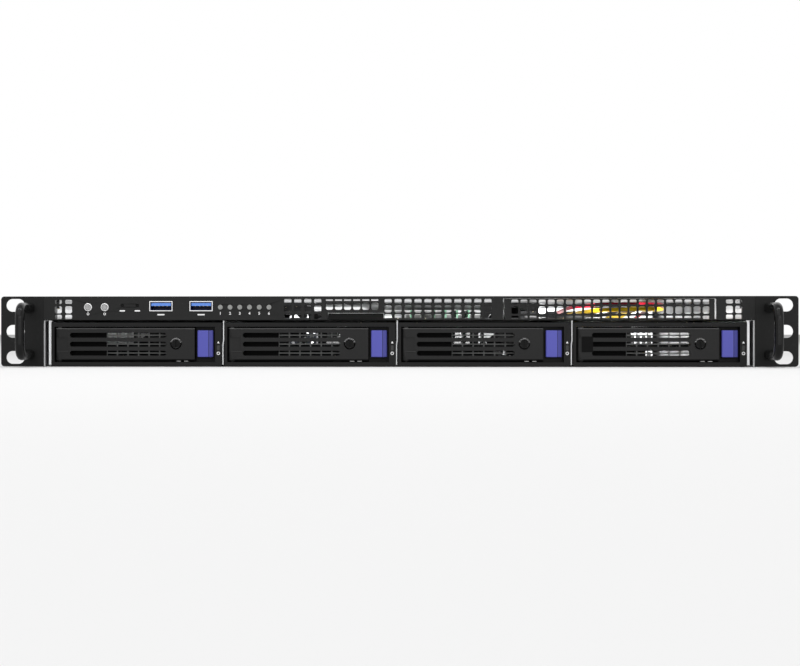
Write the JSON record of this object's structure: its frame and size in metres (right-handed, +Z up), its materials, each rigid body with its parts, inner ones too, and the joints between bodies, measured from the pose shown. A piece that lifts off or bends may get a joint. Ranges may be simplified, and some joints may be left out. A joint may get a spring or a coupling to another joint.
{
  "type": "1u rack server",
  "caption": "One-unit rack server: folded steel chassis with slotted ears, swing-lever drive trays, button strip and mesh front.",
  "frame": {"origin": "centre of the four outer rack slots, on the back face of the ears", "axes": "+X to the right seen from the front, +Y back into the rack, +Z up"},
  "size_m": [0.4826, 0.688, 0.0426],
  "materials": {
    "galvanised_steel": "zinc-coated sheet steel",
    "black_sheet": "fine black powder coat",
    "black_handle": "satin black coat",
    "board_green": "green solder resist",
    "board_black": "black solder resist",
    "connector_black": "moulded black plastic",
    "tray_black": "fine-textured black plastic",
    "lock_black": "black plastic barrel",
    "release_blue": "violet-blue plastic",
    "button_metal": "satin metal",
    "lamp_lens": "frosted clear plastic",
    "plug_metal": "plated steel",
    "usb_blue": "blue plastic",
    "fan_black": "black plastic",
    "sink_aluminium": "plain extruded aluminium",
    "wire_yellow": "yellow sleeve",
    "wire_red": "red sleeve",
    "wire_black": "black sleeve"
  },
  "bodies": {
    "chassis": {"backplane": "board_black", "board_standoffs": "galvanised_steel", "cage_walls": "galvanised_steel", "chassis_base": "galvanised_steel", "control_board": "board_black", "data_cables": "wire_black", "drive_cage": "galvanised_steel", "drive_sockets": "connector_black", "fan_frames": "fan_black", "front_panel": "black_sheet", "front_roof": "black_sheet", "front_vent_insert": "black_sheet", "handles": "black_handle", "heatsinks": "sink_aluminium", "io_ports": "plug_metal", "lamp_lenses": "lamp_lens", "left_ear": "black_sheet", "memory_modules": "board_green", "motherboard": "board_green", "psu_case": "galvanised_steel", "psu_inlet": "connector_black", "rear_panel": "galvanised_steel", "right_ear": "black_sheet", "riser_bracket": "galvanised_steel", "usb_shells": "plug_metal", "usb_tongues": "usb_blue", "wires_black": "wire_black", "wires_red": "wire_red", "wires_yellow": "wire_yellow"},
    "cover": {"top_cover": "galvanised_steel"},
    "service_tag": {"service_tag": "black_sheet"},
    "power_button": {"power_button": "button_metal"},
    "identify_button": {"identify_button": "button_metal"},
    "reset_pin": {"reset_pin": "button_metal"},
    "interrupt_pin": {"interrupt_pin": "button_metal"},
    "psu_switch": {"psu_switch": "connector_black"},
    "tray_1": {"tray_1": "black_sheet", "tray_bezel_1": "tray_black"},
    "lever_1": {"tray_lever_1": "tray_black"},
    "lock_1": {"tray_lock_1": "lock_black"},
    "release_1": {"tray_release_1": "release_blue"},
    "fan_1": {"fan_rotor_1": "fan_black"},
    "tray_2": {"tray_2": "black_sheet", "tray_bezel_2": "tray_black"},
    "lever_2": {"tray_lever_2": "tray_black"},
    "lock_2": {"tray_lock_2": "lock_black"},
    "release_2": {"tray_release_2": "release_blue"},
    "fan_2": {"fan_rotor_2": "fan_black"},
    "tray_3": {"tray_3": "black_sheet", "tray_bezel_3": "tray_black"},
    "lever_3": {"tray_lever_3": "tray_black"},
    "lock_3": {"tray_lock_3": "lock_black"},
    "release_3": {"tray_release_3": "release_blue"},
    "fan_3": {"fan_rotor_3": "fan_black"},
    "tray_4": {"tray_4": "black_sheet", "tray_bezel_4": "tray_black"},
    "lever_4": {"tray_lever_4": "tray_black"},
    "lock_4": {"tray_lock_4": "lock_black"},
    "release_4": {"tray_release_4": "release_blue"},
    "fan_4": {"fan_rotor_4": "fan_black"}
  },
  "joints": [
    {"name": "cover_lift", "type": "slide", "parent": "chassis", "child": "cover", "axis": [0, 0, 1], "range_m": [0, 0.15]},
    {"name": "tray_1_slide", "type": "slide", "parent": "chassis", "child": "tray_1", "axis": [0, -1, 0], "range_m": [0, 0.17]},
    {"name": "lever_1_swing", "type": "hinge", "parent": "tray_1", "child": "lever_1", "pos_m": [-0.2056, 0.0005, -0.0078], "axis": [0, 0, -1], "range_deg": [0, 75]},
    {"name": "lock_1_turn", "type": "hinge", "parent": "lever_1", "child": "lock_1", "pos_m": [-0.1342, 0.0005, -0.0075], "axis": [0, 1, 0], "range_deg": [0, 90]},
    {"name": "release_1_push", "type": "slide", "parent": "tray_1", "child": "release_1", "axis": [0, 1, 0], "range_m": [0, 0.002], "stiffness_N_per_m": 500, "springref_m": -0.0005},
    {"name": "tray_2_slide", "type": "slide", "parent": "chassis", "child": "tray_2", "axis": [0, -1, 0], "range_m": [0, 0.17]},
    {"name": "lever_2_swing", "type": "hinge", "parent": "tray_2", "child": "lever_2", "pos_m": [-0.1, 0.0005, -0.0078], "axis": [0, 0, -1], "range_deg": [0, 75]},
    {"name": "lock_2_turn", "type": "hinge", "parent": "lever_2", "child": "lock_2", "pos_m": [-0.0286, 0.0005, -0.0075], "axis": [0, 1, 0], "range_deg": [0, 90]},
    {"name": "release_2_push", "type": "slide", "parent": "tray_2", "child": "release_2", "axis": [0, 1, 0], "range_m": [0, 0.002], "stiffness_N_per_m": 500, "springref_m": -0.0005},
    {"name": "tray_3_slide", "type": "slide", "parent": "chassis", "child": "tray_3", "axis": [0, -1, 0], "range_m": [0, 0.17]},
    {"name": "lever_3_swing", "type": "hinge", "parent": "tray_3", "child": "lever_3", "pos_m": [0.0056, 0.0005, -0.0078], "axis": [0, 0, -1], "range_deg": [0, 75]},
    {"name": "lock_3_turn", "type": "hinge", "parent": "lever_3", "child": "lock_3", "pos_m": [0.077, 0.0005, -0.0075], "axis": [0, 1, 0], "range_deg": [0, 90]},
    {"name": "release_3_push", "type": "slide", "parent": "tray_3", "child": "release_3", "axis": [0, 1, 0], "range_m": [0, 0.002], "stiffness_N_per_m": 500, "springref_m": -0.0005},
    {"name": "tray_4_slide", "type": "slide", "parent": "chassis", "child": "tray_4", "axis": [0, -1, 0], "range_m": [0, 0.17]},
    {"name": "lever_4_swing", "type": "hinge", "parent": "tray_4", "child": "lever_4", "pos_m": [0.1112, 0.0005, -0.0078], "axis": [0, 0, -1], "range_deg": [0, 75]},
    {"name": "lock_4_turn", "type": "hinge", "parent": "lever_4", "child": "lock_4", "pos_m": [0.1826, 0.0005, -0.0075], "axis": [0, 1, 0], "range_deg": [0, 90]},
    {"name": "release_4_push", "type": "slide", "parent": "tray_4", "child": "release_4", "axis": [0, 1, 0], "range_m": [0, 0.002], "stiffness_N_per_m": 500, "springref_m": -0.0005},
    {"name": "power_button_push", "type": "slide", "parent": "chassis", "child": "power_button", "axis": [0, 1, 0], "range_m": [0, 0.0008], "stiffness_N_per_m": 800, "springref_m": -0.0003},
    {"name": "identify_button_push", "type": "slide", "parent": "chassis", "child": "identify_button", "axis": [0, 1, 0], "range_m": [0, 0.0008], "stiffness_N_per_m": 800, "springref_m": -0.0003},
    {"name": "reset_pin_push", "type": "slide", "parent": "chassis", "child": "reset_pin", "axis": [0, 1, 0], "range_m": [0, 0.0004], "stiffness_N_per_m": 800, "springref_m": -0.0002},
    {"name": "interrupt_pin_push", "type": "slide", "parent": "chassis", "child": "interrupt_pin", "axis": [0, 1, 0], "range_m": [0, 0.0004], "stiffness_N_per_m": 800, "springref_m": -0.0002},
    {"name": "service_tag_slide", "type": "slide", "parent": "chassis", "child": "service_tag", "axis": [0, -1, 0], "range_m": [0, 0.05]},
    {"name": "psu_switch_tip", "type": "hinge", "parent": "chassis", "child": "psu_switch", "pos_m": [0.1485, 0.646, 0.0047], "axis": [1, 0, 0], "range_deg": [0, 16]},
    {"name": "fan_1_spin", "type": "hinge", "parent": "chassis", "child": "fan_1", "pos_m": [-0.171, 0.229, -0.0003], "axis": [0, 1, 0], "continuous": true},
    {"name": "fan_2_spin", "type": "hinge", "parent": "chassis", "child": "fan_2", "pos_m": [-0.129, 0.229, -0.0003], "axis": [0, 1, 0], "continuous": true},
    {"name": "fan_3_spin", "type": "hinge", "parent": "chassis", "child": "fan_3", "pos_m": [-0.087, 0.229, -0.0003], "axis": [0, 1, 0], "continuous": true},
    {"name": "fan_4_spin", "type": "hinge", "parent": "chassis", "child": "fan_4", "pos_m": [0.08, 0.229, -0.0003], "axis": [0, 1, 0], "continuous": true}
  ]
}
